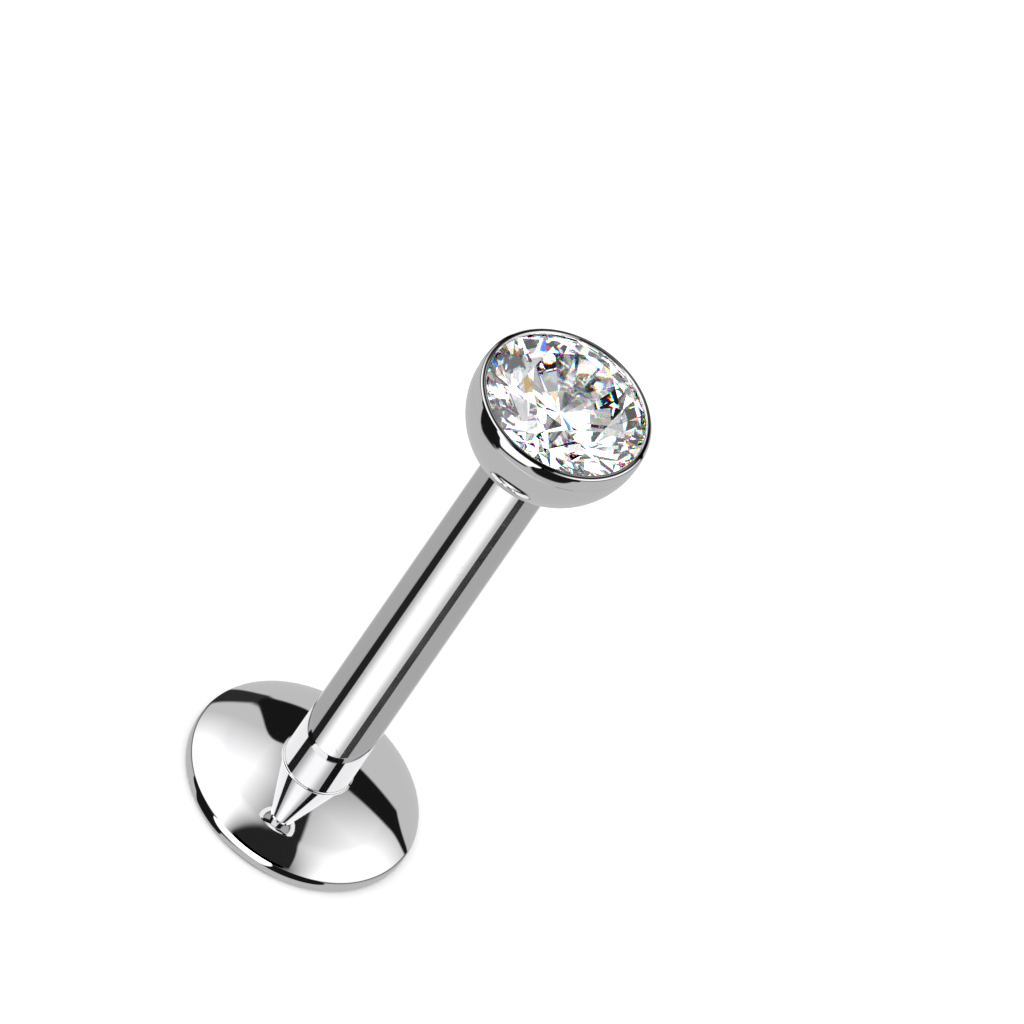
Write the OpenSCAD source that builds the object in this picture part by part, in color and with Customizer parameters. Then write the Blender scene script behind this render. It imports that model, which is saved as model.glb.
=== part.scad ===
// Labret stud: a domed disc on a straight post, and a screw-in half-ball cup with a round cut stone.
// Origin at the centre of the disc's flat back, +Z along the post towards the stone, millimetres.

/* [Disc] */
// Diameter of the disc that sits inside the lip
disc_d = 4.0; // [3:0.1:6]
// Height of the disc's edge, from the flat back to the top of the edge's rounding
rim_h = 0.28; // [0.24:0.01:0.5]
// How far the dome rises over the edge, measured on the axis
dome_rise = 0.52; // [0.44:0.01:0.8]
// How far the dome's flat middle falls from the axis to the start of the bend
crown_fall = 0.243; // [0.15:0.001:0.28]
// Width of the band round the dome where it bends down to the edge
bend_w = 0.5; // [0.3:0.05:0.6]
// Rounding where the edge turns into the dome
rim_round = 0.12; // [0.04:0.01:0.14]
// Rounding where the edge turns into the flat back
back_round = 0.08; // [0.02:0.01:0.1]

/* [Post] */
// Outside diameter of the post, 16 gauge
post_d = 1.19; // [1.12:0.01:1.6]
// Bare length of the post, from the dome to the open end
wear_len = 8.40; // [5:0.01:14]
// Rounding of the outer edge at the open end
end_round = 0.08; // [0.04:0.01:0.1]
// Width of the flat land round the mouth that the cup seats on
seat_land = 0.015; // [0.01:0.005:0.03]
// Size of the weld bead round the foot of the post
bead_r = 0.02; // [0.01:0.005:0.05]

/* [Cup] */
// Diameter of the ball that the cup is cut from
ball_d = 3.034; // [2.6:0.002:5]
// Height over the centre of the ball where the shoulder starts
rim_up = 0.21; // [0.1:0.01:0.3]
// Rounding of the shoulder between the ball and the lip
shoulder_round = 0.085; // [0.07:0.005:0.12]
// Width of the lip's flat top
lip_w = 0.012; // [0.008:0.001:0.02]
// Width of the slope from the lip's top down to its edge
lip_slope = 0.02; // [0.01:0.005:0.03]
// Thickness of the lip's edge over the stone
lip_t = 0.02; // [0.015:0.005:0.04]
// How far the lip reaches over the stone's edge
lip_cover = 0.02; // [0.01:0.005:0.03]
// Diameter of the recess in the seat, under the stone's point
relief_d = 0.71; // [0.5:0.01:0.9]

/* [Thread] */
// Outside diameter of the stem's thread
thread_d = 0.80; // [0.7:0.01:0.84]
// Depth of the thread
thread_depth = 0.12; // [0.08:0.01:0.14]
// Rise of the thread in one turn
thread_pitch = 0.20; // [0.16:0.01:0.25]
// Threaded length of the stem
thread_len = 1.3; // [0.8:0.05:1.6]
// Plain neck between the ball and the thread
neck_len = 0.20; // [0.1:0.01:0.4]

/* [Guide pin] */
// Diameter of the smooth guide pin below the thread
pin_d = 0.32; // [0.26:0.01:0.34]
// Length of the pin that stands out below the thread
pin_len = 1.0; // [0.6:0.05:1.4]
// Length of the pin that is held inside the stem
pin_root = 0.5; // [0.3:0.05:0.6]

/* [Stone] */
// Angle of the crown's main facets
crown_angle = 34.5; // [30:0.5:38]
// Angle of the pavilion's main facets
pavilion_angle = 40.8; // [38:0.2:43]
// Table across its corners, as a share of the stone's diameter
table_share = 0.58; // [0.52:0.01:0.66]
// Length of the star facets, as a share of the way from table to girdle
star_share = 0.52; // [0.4:0.01:0.6]
// Length of the lower half facets, as a share of the way from girdle to culet
lower_share = 0.77; // [0.65:0.01:0.85]
// Thickness of the girdle where it is thickest
girdle_t = 0.07; // [0.06:0.005:0.1]
// Turn of the stone in its cup
stone_turn = 17; // [0:1:45]

/* [Clearances] */
// Radial room between the stem's thread and the thread in the post
thread_room = 0.04; // [0.03:0.005:0.05]
// Radial room round the guide pin in the stem
pin_room = 0.02; // [0.01:0.005:0.04]
// Radial room round the guide pin in the post
bore_room = 0.05; // [0.03:0.005:0.08]
// Room between the stone and its seat
stone_room = 0.02; // [0.01:0.005:0.03]
// Room between the cup and the open end of the post
seat_room = 0.015; // [0.01:0.005:0.03]
// Room left under each blind end
end_room = 0.2; // [0.1:0.05:0.4]

/* [Hidden] */
$fn = 96;
// Sides of a thread's outline, and slices in each of its turns
thread_sides = 12;
// Main facets on the crown, and as many on the pavilion
mains = 8;
// Steps of the round girdle along each of its small facets
girdle_steps = 3;
// How far a cutting shape reaches past the face that it opens
over = 0.5;

disc_r = disc_d / 2;
post_r = post_d / 2;
ball_r = ball_d / 2;
thread_r = thread_d / 2;
pin_r = pin_d / 2;
bore_r = pin_r + bore_room;

// The dome's middle is a wide sphere that ends where the bend starts
dome_top = rim_h + dome_rise;
bend_r = disc_r - bend_w;
crown_r = (bend_r * bend_r + crown_fall * crown_fall) / (2 * crown_fall);
crown_cz = dome_top - crown_r;

// The bend's circle touches the middle's circle at its start, and the edge's rounding at its end
rim_cr = disc_r - rim_round;
rim_cz = rim_h - rim_round;
bend_z = dome_top - crown_fall;
way = [rim_cr - bend_r, rim_cz - bend_z];
lean = [bend_r, bend_z - crown_cz] / crown_r;
bend_round = (way * way - rim_round * rim_round) / (-2 * (way * lean + rim_round));
bend_centre = [bend_r, bend_z] - bend_round * lean;
rim_way = ([rim_cr, rim_cz] - bend_centre) / (bend_round - rim_round);

post_foot_z = crown_cz + sqrt(crown_r * crown_r - post_r * post_r);
post_top = post_foot_z + wear_len;

// The ball sinks into the post's mouth until it meets the land
mouth_r = post_r - end_round - seat_land;
ball_cz = post_top + sqrt(ball_r * ball_r - mouth_r * mouth_r) + seat_room;
ball_low = ball_cz - ball_r;
rim_r = sqrt(ball_r * ball_r - rim_up * rim_up);

// The shoulder's circle touches the ball from inside where the shoulder starts
shoulder_share = 1 - shoulder_round / ball_r;
shoulder_r = shoulder_share * rim_r;
shoulder_z = ball_cz + shoulder_share * rim_up;
lip_top = shoulder_z + shoulder_round;

// Inside its flat top the lip slopes down to its edge at 45 degrees
lip_edge = lip_top - lip_slope;
lip_under = lip_edge - lip_t;
lip_r = shoulder_r - lip_w - lip_slope;

// The stem hangs under the ball
neck_r = thread_r - thread_depth;
thread_top = ball_low - neck_len;
thread_low = thread_top - thread_len;
pin_low = thread_low - pin_len;
tapped_low = thread_low - end_room;
bore_low = pin_low - end_room;

// The stone sits under the lip, one clearance below it along the slope of the crown
stone_r = lip_r + lip_cover;
girdle_top = lip_under - stone_room - (lip_cover + stone_room) * tan(crown_angle);
girdle_low = girdle_top - girdle_t;
table_r = stone_r * table_share;
table_z = girdle_top + (stone_r - table_r) * tan(crown_angle);
half_step = 180 / mains;
table_flat = table_r * cos(half_step);
star_r = table_flat + star_share * (stone_r - table_flat);
star_z = girdle_top + (stone_r - star_r * cos(half_step)) * tan(crown_angle);
lower_r = stone_r * (1 - lower_share);
lower_z = girdle_low - (stone_r - lower_r * cos(half_step)) * tan(pavilion_angle);
culet_z = girdle_low - stone_r * tan(pavilion_angle);

// The seat follows the stone, one clearance away
seat_r = stone_r + stone_room;
seat_low = girdle_low - stone_room;
relief_r = relief_d / 2;
relief_z = seat_low - (seat_r - relief_r) * tan(pavilion_angle);

// A point at an angle, radius and height
function at(a, r, z) = [r * cos(a), r * sin(a), z];

// Slope of the small facets beside the girdle, from the point (r, z) where they end to the girdle
function edge_slope(r, z, girdle_z) =
    (z - girdle_z) / ((stone_r - r) * cos(half_step / 2));

// Height of the girdle's edge, which dips between the corners of the small facets
function edge_z(i, z, slope) =
    let (a = (i % girdle_steps) * half_step / girdle_steps - half_step / 2)
    z - stone_r * (cos(a) - cos(half_step / 2)) * slope;

// Round brilliant cut: table, stars, kites and upper halves over the girdle, lower halves and mains under it
module brilliant() {
    count = 2 * mains * girdle_steps;
    step = 360 / count;
    up = edge_slope(star_r, star_z, girdle_top);
    down = edge_slope(lower_r, lower_z, girdle_low);
    points = [
        for (k = [0:mains - 1]) at(2 * k * half_step, table_r, table_z),
        for (k = [0:mains - 1]) at((2 * k + 1) * half_step, star_r, star_z),
        for (k = [0:mains - 1]) at((2 * k + 1) * half_step, lower_r, lower_z),
        for (i = [0:count - 1]) at(i * step, stone_r, edge_z(i, girdle_top, up)),
        for (i = [0:count - 1]) at(i * step, stone_r, edge_z(i, girdle_low, down)),
        [0, 0, culet_z]
    ];
    star = mains;
    lower = 2 * mains;
    top = 3 * mains;
    bottom = top + count;
    culet = bottom + count;
    faces = [
        [for (k = [mains - 1:-1:0]) k],
        for (k = [0:mains - 1]) let (next = (k + 1) % mains) [k, next, star + k],
        for (k = [0:mains - 1]) let (last = (k + mains - 1) % mains)
            [k, star + k, top + 2 * girdle_steps * k, star + last],
        for (k = [0:mains - 1], half = [0, 1]) let (first = (2 * k + half) * girdle_steps)
            [star + k, for (i = [girdle_steps:-1:0]) top + (first + i) % count],
        for (i = [0:count - 1]) let (next = (i + 1) % count)
            [top + i, top + next, bottom + next, bottom + i],
        for (k = [0:mains - 1], half = [0, 1]) let (first = (2 * k + half) * girdle_steps)
            [lower + k, for (i = [0:girdle_steps]) bottom + (first + i) % count],
        for (k = [0:mains - 1]) let (last = (k + mains - 1) % mains)
            [culet, lower + last, bottom + 2 * girdle_steps * k, lower + k]
    ];
    polyhedron(points, faces, convexity = 2);
}

// A thread from low to high: a circle off centre that turns once each pitch. Room widens it all round
module thread(low, high, room = 0) {
    turns = (high - low) / thread_pitch;
    translate([0, 0, low])
        rotate(360 * low / thread_pitch)
            linear_extrude(height = high - low, twist = -360 * turns, slices = ceil(turns * thread_sides),
                           $fn = thread_sides)
                translate([thread_depth / 2, 0]) circle(r = thread_r - thread_depth / 2 + room);
}

// Half outline of the disc's edge, rounded below and above
module edge_outline() {
    square([disc_r - back_round, rim_cz]);
    translate([0, back_round]) square([disc_r, rim_cz - back_round]);
    translate([disc_r - back_round, back_round]) circle(r = back_round);
    translate([rim_cr, rim_cz]) circle(r = rim_round);
}

// Half outline of the dome: the wide middle and the bend, up to the line where the edge's rounding takes over
module dome_outline() {
    intersection() {
        union() {
            intersection() {
                translate([0, crown_cz]) circle(r = crown_r);
                square([bend_r, dome_top]);
            }
            intersection() {
                translate(bend_centre) circle(r = bend_round);
                translate([bend_r, 0]) square([bend_w, dome_top]);
            }
        }
        polygon([[0, 0], [rim_cr, rim_cz], [rim_cr, rim_cz] + over * rim_way, [0, dome_top + over]]);
    }
}

// Half outline of the post above the disc's middle, with a rounded top edge
module post_outline() {
    square([post_r - end_round, post_top]);
    square([post_r, post_top - end_round]);
    translate([post_r - end_round, post_top - end_round]) circle(r = end_round);
    translate([post_r, post_foot_z]) circle(r = bead_r);
}

module disc_post() {
    color("silver")
        difference() {
            rotate_extrude() {
                edge_outline();
                dome_outline();
                post_outline();
            }
            thread(tapped_low, post_top + over, thread_room);
            translate([0, 0, post_top - (mouth_r - neck_r)])
                cylinder(h = mouth_r - neck_r + over, r1 = neck_r, r2 = mouth_r + over);
            translate([0, 0, bore_low]) cylinder(h = post_top - bore_low, r = bore_r);
        }
}

// Half outline of the cup: the ball, its rounded shoulder and the lip, less the seat of the stone
module cup_outline() {
    difference() {
        union() {
            intersection() {
                translate([0, ball_cz]) circle(r = ball_r);
                translate([0, ball_low]) square([ball_r, ball_r + rim_up]);
            }
            translate([shoulder_r, shoulder_z]) circle(r = shoulder_round);
            translate([0, ball_cz]) square([shoulder_r, lip_top - ball_cz]);
        }
        polygon([
            [0, lip_top + over],
            [lip_r + lip_slope + over, lip_top + over],
            [lip_r, lip_edge],
            [lip_r, lip_under],
            [seat_r, girdle_top + stone_room],
            [seat_r, seat_low],
            [relief_r, relief_z],
            [relief_r, culet_z - stone_room],
            [0, culet_z - stone_room]
        ]);
    }
}

module bezel_cup() {
    color("silver")
        difference() {
            union() {
                rotate_extrude() cup_outline();
                translate([0, 0, thread_top]) cylinder(h = ball_low + neck_len / 2 - thread_top, r = neck_r);
                thread(thread_low, thread_top);
            }
            translate([0, 0, thread_low - over])
                cylinder(h = pin_root + pin_room + over, r = pin_r + pin_room);
        }
}

module guide_pin() {
    color("gainsboro") {
        translate([0, 0, pin_low + pin_r]) cylinder(h = pin_len + pin_root - pin_r, r = pin_r);
        translate([0, 0, pin_low + pin_r]) sphere(r = pin_r);
    }
}

module stone() {
    color("aliceblue")
        rotate(stone_turn) brilliant();
}

disc_post();
bezel_cup();
guide_pin();
stone();
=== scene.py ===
# %% [markdown]
# # A labret stud in mirror polished steel
#
# The stud is a domed disc on a straight post, with a half-ball cup screwed into the open end. The cup
# holds a round brilliant cut stone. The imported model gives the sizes, so the frame is loaded first, and
# each new surface is worked out from its boxes. Lengths are in metres, and the object is only 11 mm tall.

# %% Load the frame
import bpy
import math
import numpy as np
from mathutils import Matrix, Vector


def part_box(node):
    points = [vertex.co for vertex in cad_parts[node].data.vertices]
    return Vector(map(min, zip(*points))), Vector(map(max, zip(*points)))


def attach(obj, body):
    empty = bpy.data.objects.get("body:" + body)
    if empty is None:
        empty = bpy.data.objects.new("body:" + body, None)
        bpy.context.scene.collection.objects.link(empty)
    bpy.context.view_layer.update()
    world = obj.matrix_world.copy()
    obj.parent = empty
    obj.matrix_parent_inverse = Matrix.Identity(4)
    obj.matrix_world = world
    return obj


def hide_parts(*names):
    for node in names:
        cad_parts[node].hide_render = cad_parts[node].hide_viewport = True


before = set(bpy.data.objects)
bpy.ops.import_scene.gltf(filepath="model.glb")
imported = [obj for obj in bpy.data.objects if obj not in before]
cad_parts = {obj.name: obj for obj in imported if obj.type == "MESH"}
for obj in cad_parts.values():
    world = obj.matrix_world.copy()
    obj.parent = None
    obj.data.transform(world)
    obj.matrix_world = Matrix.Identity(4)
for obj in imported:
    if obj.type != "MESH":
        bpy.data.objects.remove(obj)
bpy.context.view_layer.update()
mm = 0.001

# %% [markdown]
# ## Reading the sizes off the frame
#
# A lathe worker starts with a drawing. Here the drawing is the box of each CAD node: the disc's radius,
# the height of the post, the height of the cup's rim and the length of the pin all come from there. What
# a box can't tell, such as a rounding or a wall inside, is a value of its own, set where it is first used.

# %% Sizes from the frame
post_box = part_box("disc_post")
cup_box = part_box("bezel_cup")
pin_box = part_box("guide_pin")
stone_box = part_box("stone")

disc_r = post_box[1].x
post_top = post_box[1].z
ball_r = cup_box[1].x
lip_top = cup_box[1].z
thread_low = cup_box[0].z
pin_r = pin_box[1].x
pin_low = pin_box[0].z
pin_high = pin_box[1].z
stone_r = stone_box[1].x
culet_z = stone_box[0].z
for title, radius in (("disc", disc_r), ("ball", ball_r), ("stone", stone_r), ("pin", pin_r)):
    print(title, round(2 * radius / mm, 3), "mm across")

# %% [markdown]
# ## Arcs and lines of a profile
#
# Turned metal is a profile swung round an axis. A polished profile has no sharp corner: each edge is a
# small arc that runs smoothly into its neighbours. A mirror shows the slightest dent in the shading, so
# the arcs are sampled finely, and each straight stretch keeps a row of points close to both of its ends,
# which holds the shading flat in between. Bevels on a coarse mesh would be quicker, but they leave the
# long faces slightly bent in a reflection.

# %% Helpers for arcs and lines
hold = 0.004 * mm


def arc(centre, size, start, end, steps):
    """Points on a circle: centre + size * (cos a, sin a), with a running evenly from start to end.

    The angles are in radians, and steps is the number of points."""
    a = np.linspace(start, end, steps)
    return np.stack([centre[0] + size * np.cos(a), centre[1] + size * np.sin(a)], -1)


def line(start, end, steps):
    """Points from start to end: the two ends, one close to each end, and the rest evenly between them."""
    start = np.asarray(start, float)
    end = np.asarray(end, float)
    near = min(hold / np.linalg.norm(end - start), 0.25)
    share = np.concatenate([[0], np.linspace(near, 1 - near, steps), [1]])[:, None]
    return start + share * (end - start)


def joined(*stretches):
    """One profile from several stretches, with each repeated point dropped."""
    points = np.concatenate(stretches)
    apart = np.linalg.norm(np.diff(points, axis=0), axis=1) > 1e-9
    return points[np.concatenate([[True], apart])]


quarter = arc((0, 0), 1.0, 0, math.pi / 2, steps=16)
quarter_length = np.linalg.norm(np.diff(quarter, axis=0), axis=1).sum()
print("16 points keep", round(quarter_length / (math.pi / 2), 5), "of a quarter circle's length")

# %% [markdown]
# ## Where two arcs touch or cross
#
# Two arcs run into each other without a kink when they touch, and they touch where their centres and the
# shared point lie on one line. So the centres of a chain of arcs follow from the sizes, as on a drawing
# made with compasses, and no point has to be placed by eye.

# %% Helpers for touching arcs


def crossing(low_centre, low_size, high_centre, high_size):
    """The outer point that lies low_size from one centre and high_size from the other, both on a plane.

    The way from one centre to the other is followed by (d^2 + a^2 - b^2) / 2d, and then left squarely."""
    low_centre = np.asarray(low_centre, float)
    way = np.asarray(high_centre, float) - low_centre
    far = np.linalg.norm(way)
    along = (far ** 2 + low_size ** 2 - high_size ** 2) / (2 * far)
    aside = math.sqrt(low_size ** 2 - along ** 2)
    square = np.array([way[1], -way[0]]) / far
    square = square * np.sign(square[0])
    return low_centre + way / far * along + square * aside


def angle_to(centre, point):
    """Angle of the way from centre to point, in radians, over the level."""
    return math.atan2(point[1] - centre[1], point[0] - centre[0])


def cap_size(half_width, rise):
    """Radius of the circle of a cap: (half width^2 + rise^2) / (2 rise)."""
    return (half_width ** 2 + rise ** 2) / (2 * rise)


def bend_size_to(start, steep, inner_centre, inner_size):
    """Radius of the arc that starts squarely to the direction steep and touches a smaller arc inside it.

    Its centre lies its radius back along steep, and the two centres lie the difference of the radii apart.
    With w from start to the inner centre and t the inner radius: (w . w - t^2) / (-2 (w . steep + t))."""
    way = inner_centre - start
    return (way @ way - inner_size ** 2) / (-2 * (way @ steep + inner_size))


print("a cap 2 wide and 1 high has the radius", cap_size(1.0, 1.0))

# %% [markdown]
# ## From a profile to a closed surface
#
# The surface is a grid of two parameters: the row along the profile, and the turn round the axis. A plain
# turned piece has one radius for each row. A screw thread is the same grid with a radius that also changes
# with the turn, so one helper makes both. The first and the last row lie on the axis, and each is merged
# into a single point there.

# %% Helpers for grids
sides = 192
turn = np.linspace(0, 2 * math.pi, sides, endpoint=False)


def ring_grid(profile):
    """Radius and height of a turned profile, as two grids: a row for each point, a column for each side."""
    ones = np.ones(sides)
    return profile[:, :1] * ones, profile[:, 1:] * ones


def enclosed(points, corners, starts):
    """Volume inside a closed mesh: a sixth of the sum of a . (b x c) over the triangles of its faces."""
    ends = np.append(starts[1:], len(corners))
    square = starts[(ends - starts) == 4]
    first = np.stack([corners[starts], corners[starts + 1], corners[starts + 2]], -1)
    second = np.stack([corners[square], corners[square + 2], corners[square + 3]], -1)
    a, b, c = np.moveaxis(points[np.concatenate([first, second])], 1, 0)
    return float(np.einsum("ij,ij->i", a, np.cross(b, c)).sum() / 6)


print("each ring has", sides, "sides")

# %% Helper for closed surfaces


def closed_surface(name, radius, height):
    """Mesh object of a grid: x = radius cos(turn), y = radius sin(turn), z = height, closed at both ends.

    Faces are quads between neighbouring rows, and triangles round the two end points. A negative volume
    means that they face inwards, and then the corners of each face are taken the other way round."""
    rows = len(radius)
    grid = np.stack([radius * np.cos(turn), radius * np.sin(turn), height], -1)
    poles = np.array([[0, 0, height[0, 0]], [0, 0, height[-1, 0]]])
    points = np.concatenate([poles, grid[1:-1].reshape(-1, 3)])
    at = 2 + np.arange((rows - 2) * sides).reshape(rows - 2, sides)
    after = np.roll(at, -1, axis=1)
    start_fan = np.stack([np.zeros(sides, int), at[0], after[0]], -1)
    end_fan = np.stack([np.ones(sides, int), after[-1], at[-1]], -1)
    quads = np.stack([at[:-1], at[1:], after[1:], after[:-1]], -1).reshape(-1, 4)
    triangles = np.concatenate([start_fan, end_fan])
    quad_starts = triangles.size + 4 * np.arange(len(quads))
    starts = np.concatenate([3 * np.arange(len(triangles)), quad_starts])
    corners = np.concatenate([triangles.ravel(), quads.ravel()])
    volume = enclosed(points, corners, starts)
    if volume < 0:
        corners = np.concatenate([triangles[:, ::-1].ravel(), quads[:, ::-1].ravel()])
    mesh = bpy.data.meshes.new(name)
    mesh.vertices.add(len(points))
    mesh.vertices.foreach_set("co", points.ravel())
    mesh.loops.add(len(corners))
    mesh.loops.foreach_set("vertex_index", corners)
    mesh.polygons.add(len(starts))
    mesh.polygons.foreach_set("loop_start", starts)
    mesh.polygons.foreach_set("use_smooth", np.ones(len(starts), bool))
    mesh.update(calc_edges=True)
    piece = bpy.data.objects.new(name, mesh)
    bpy.context.scene.collection.objects.link(piece)
    print(name, len(triangles) + 2 * len(quads), "triangles,", round(abs(volume) / mm ** 3, 3), "mm3")
    return piece


# %% [markdown]
# ## The screw thread
#
# A thread is a ridge that climbs one pitch in each turn. Where the ridge is depends only on the turn less
# the height in pitches, so one formula gives the male thread, and the same formula a little wider gives
# the female one. The two stay in step through the whole screw motion, as the CAD joints have it: one turn
# for each pitch.

# %% Helper for threads
thread_r = 0.40 * mm
neck_r = 0.28 * mm
thread_pitch = 0.20 * mm
thread_len = 1.3 * mm
crest_share = 0.14
root_share = 0.10
rows_a_turn = 22
thread_top = thread_low + thread_len


def ridge(height):
    """How far up the ridge a point is, from 0 at the root to 1 at the crest, for each height and turn.

    The phase is the turn in turns less the height in pitches. Its distance from a whole number runs from
    0 to a half, and a straight flank joins a narrow flat crest to a narrower flat root."""
    phase = turn / (2 * math.pi) - height / thread_pitch
    away = 2 * np.abs(phase - np.round(phase))
    return np.clip((1 - root_share - away) / (1 - root_share - crest_share), 0, 1)


print("thread of", round(thread_len / thread_pitch, 1), "turns,", round(thread_top / mm, 3), "mm up")

# %% [markdown]
# ## The disc and post
#
# The disc is stamped. Its dome is a flat crown that bends down more steeply near the rim, its edge is
# slightly barrelled by the polishing wheel, and the bend and the edge meet in a small rounding. The post
# is welded to the middle, which leaves a fine bright bead, and it is drilled and tapped from the open end.
# All of it is one solid on the real stud, so it is one profile here: flat back, edge, dome, bead, post,
# rounded end, mouth, thread and bore. One mesh also keeps the mirror free of gaps at the weld.

# %% Dome and edge of the disc
post_r = 0.595 * mm
rim_h = 0.28 * mm
dome_rise = 0.52 * mm
crown_fall = 0.243 * mm
bend_w = 0.5 * mm
rim_round = 0.12 * mm
barrel_r = 1.4 * mm
back_round = 0.08 * mm

dome_top = rim_h + dome_rise
bend_start = np.array([disc_r - bend_w, dome_top - crown_fall])
crown_size = cap_size(bend_start[0], crown_fall)
crown_centre = np.array([0, dome_top - crown_size])
foot_z = crown_centre[1] + math.sqrt(crown_size ** 2 - post_r ** 2)

# The bend is drawn as if the edge were upright, and the rounding is then set between bend and barrel
steep = (bend_start - crown_centre) / crown_size
upper_rounding = np.array([disc_r - rim_round, rim_h - rim_round])
bend_size = bend_size_to(bend_start, steep, upper_rounding, rim_round)
bend_centre = bend_start - bend_size * steep

barrel_centre = np.array([disc_r - barrel_r, back_round])
edge_centre = crossing(bend_centre, bend_size - rim_round, barrel_centre, barrel_r - rim_round)
edge_low = angle_to(barrel_centre, edge_centre)
edge_high = angle_to(bend_centre, edge_centre)
bend_high = angle_to(bend_centre, bend_start)
print("dome radius", round(crown_size / mm, 3), "mm, bend radius", round(bend_size / mm, 3), "mm")

# %% Outside of the disc and post
bead_r = 0.02 * mm
end_round = 0.08 * mm
seat_land = 0.015 * mm

foot = np.array([post_r, foot_z])
bead_turn = 2 * math.asin(bead_r / (2 * crown_size))
dome_end = angle_to(crown_centre, foot) - bead_turn
dome_meets_bead = crown_centre + crown_size * np.array([math.cos(dome_end), math.sin(dome_end)])
end_r = post_r - end_round
mouth_r = end_r - seat_land

outside = joined(
    line((0, 0), (disc_r - back_round, 0), steps=6),
    arc((disc_r - back_round, back_round), back_round, -math.pi / 2, 0, steps=14),
    arc(barrel_centre, barrel_r, 0, edge_low, steps=12),
    arc(edge_centre, rim_round, edge_low, edge_high, steps=24),
    arc(bend_centre, bend_size, edge_high, bend_high, steps=40),
    arc(crown_centre, crown_size, bend_high, dome_end, steps=50),
    arc(foot, bead_r, angle_to(foot, dome_meets_bead), math.pi / 2, steps=16),
    line((post_r, foot_z + bead_r), (post_r, post_top - end_round), steps=10),
    arc((end_r, post_top - end_round), end_round, 0, math.pi / 2, steps=16),
    line((end_r, post_top), (mouth_r, post_top), steps=3),
)
print("profile of the disc and post:", len(outside), "points")

# %% Inside of the post
thread_room = 0.04 * mm
bore_room = 0.05 * mm
end_room = 0.2 * mm

bore_r = pin_r + bore_room
tapped_low = thread_low - end_room
bore_low = pin_low - end_room
tapped_rows = int((post_top - tapped_low) / thread_pitch * rows_a_turn)
tapped_z = np.linspace(post_top, tapped_low, tapped_rows)[:, None] * np.ones(sides)
countersink = mouth_r - (post_top - tapped_z)
tapped_r = neck_r + thread_room + (thread_r - neck_r) * ridge(tapped_z)
tapped_r = np.maximum(tapped_r, countersink)
bore = joined(
    line((bore_r, tapped_low), (bore_r, bore_low), steps=4),
    line((bore_r, bore_low), (0, bore_low), steps=3),
)
print("tapped", round((post_top - tapped_low) / mm, 3), "mm deep, with", tapped_rows, "rows")

# %% Disc and post as one surface
outside_r, outside_z = ring_grid(outside)
bore_grid_r, bore_grid_z = ring_grid(bore)
disc_post = closed_surface(
    "disc_and_post",
    np.concatenate([outside_r, tapped_r[1:], bore_grid_r]),
    np.concatenate([outside_z, tapped_z[1:], bore_grid_z]),
)
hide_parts("disc_post")
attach(disc_post, "post")

# %% [markdown]
# ## The cup with its stem
#
# The cup is a ball turned hollow on top for the stone. Its thin wall is pressed down over the girdle with
# a burnisher, which rounds it into a bright shoulder and a narrow sloping lip. The threaded stem is
# soldered to the ball's underside. The stem's thread runs out at both ends, because a die starts and stops
# gradually, so the ridge fades there instead of ending in a wall.

# %% Shoulder and lip of the cup
rim_up = 0.21 * mm
shoulder_round = 0.085 * mm
lip_w = 0.012 * mm
lip_slope = 0.02 * mm
lip_t = 0.02 * mm
lip_round = 0.01 * mm

shoulder_share = 1 - shoulder_round / ball_r
ball_z = lip_top - shoulder_round - shoulder_share * rim_up
ball_centre = np.array([0, ball_z])
shoulder_r = shoulder_share * math.sqrt(ball_r ** 2 - rim_up ** 2)
shoulder = np.array([shoulder_r, lip_top - shoulder_round])
lip_edge = lip_top - lip_slope
lip_under = lip_edge - lip_t
lip_r = shoulder_r - lip_w - lip_slope
eighth = math.pi / 4
corner_reach = lip_round * math.tan(eighth / 2)
top_corner = np.array([lip_r + lip_slope + corner_reach, lip_top - lip_round])
low_corner = np.array([lip_r + lip_round, lip_edge - corner_reach])

lip = joined(
    line((lip_r, lip_under), (lip_r, low_corner[1]), steps=3),
    arc(low_corner, lip_round, 4 * eighth, 3 * eighth, steps=8),
    arc(top_corner, lip_round, 3 * eighth, 2 * eighth, steps=8),
    arc(shoulder, shoulder_round, 2 * eighth, angle_to(ball_centre, shoulder), steps=40),
)
print("lip from", round(lip_r / mm, 3), "to", round(shoulder_r / mm, 3), "mm off the axis")

# %% Seat of the stone and ball of the cup
crown_slope = math.tan(math.radians(34.5))
pavilion_slope = math.tan(math.radians(40.8))
girdle_t = 0.07 * mm
relief_r = 0.355 * mm
stone_room = 0.02 * mm

seat_r = stone_r + stone_room
girdle_top = lip_under - stone_room - (seat_r - lip_r) * crown_slope
seat_low = girdle_top - girdle_t - stone_room
relief_z = seat_low - (seat_r - relief_r) * pavilion_slope
hollow_low = culet_z - stone_room
neck_angle = -math.acos(neck_r / ball_r)
neck_z = ball_z + ball_r * math.sin(neck_angle)

cup = joined(
    line((0, hollow_low), (relief_r, hollow_low), steps=3),
    line((relief_r, hollow_low), (relief_r, relief_z), steps=3),
    line((relief_r, relief_z), (seat_r, seat_low), steps=8),
    line((seat_r, seat_low), (seat_r, girdle_top + stone_room), steps=3),
    line((seat_r, girdle_top + stone_room), (lip_r, lip_under), steps=3),
    lip,
    arc(ball_centre, ball_r, angle_to(ball_centre, shoulder), neck_angle, steps=110),
    line((neck_r, neck_z), (neck_r, thread_top), steps=4),
)
print("profile of the cup:", len(cup), "points")

# %% Stem and socket
fade_len = 0.10 * mm
pin_room = 0.02 * mm
pin_root = 0.5 * mm

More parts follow.
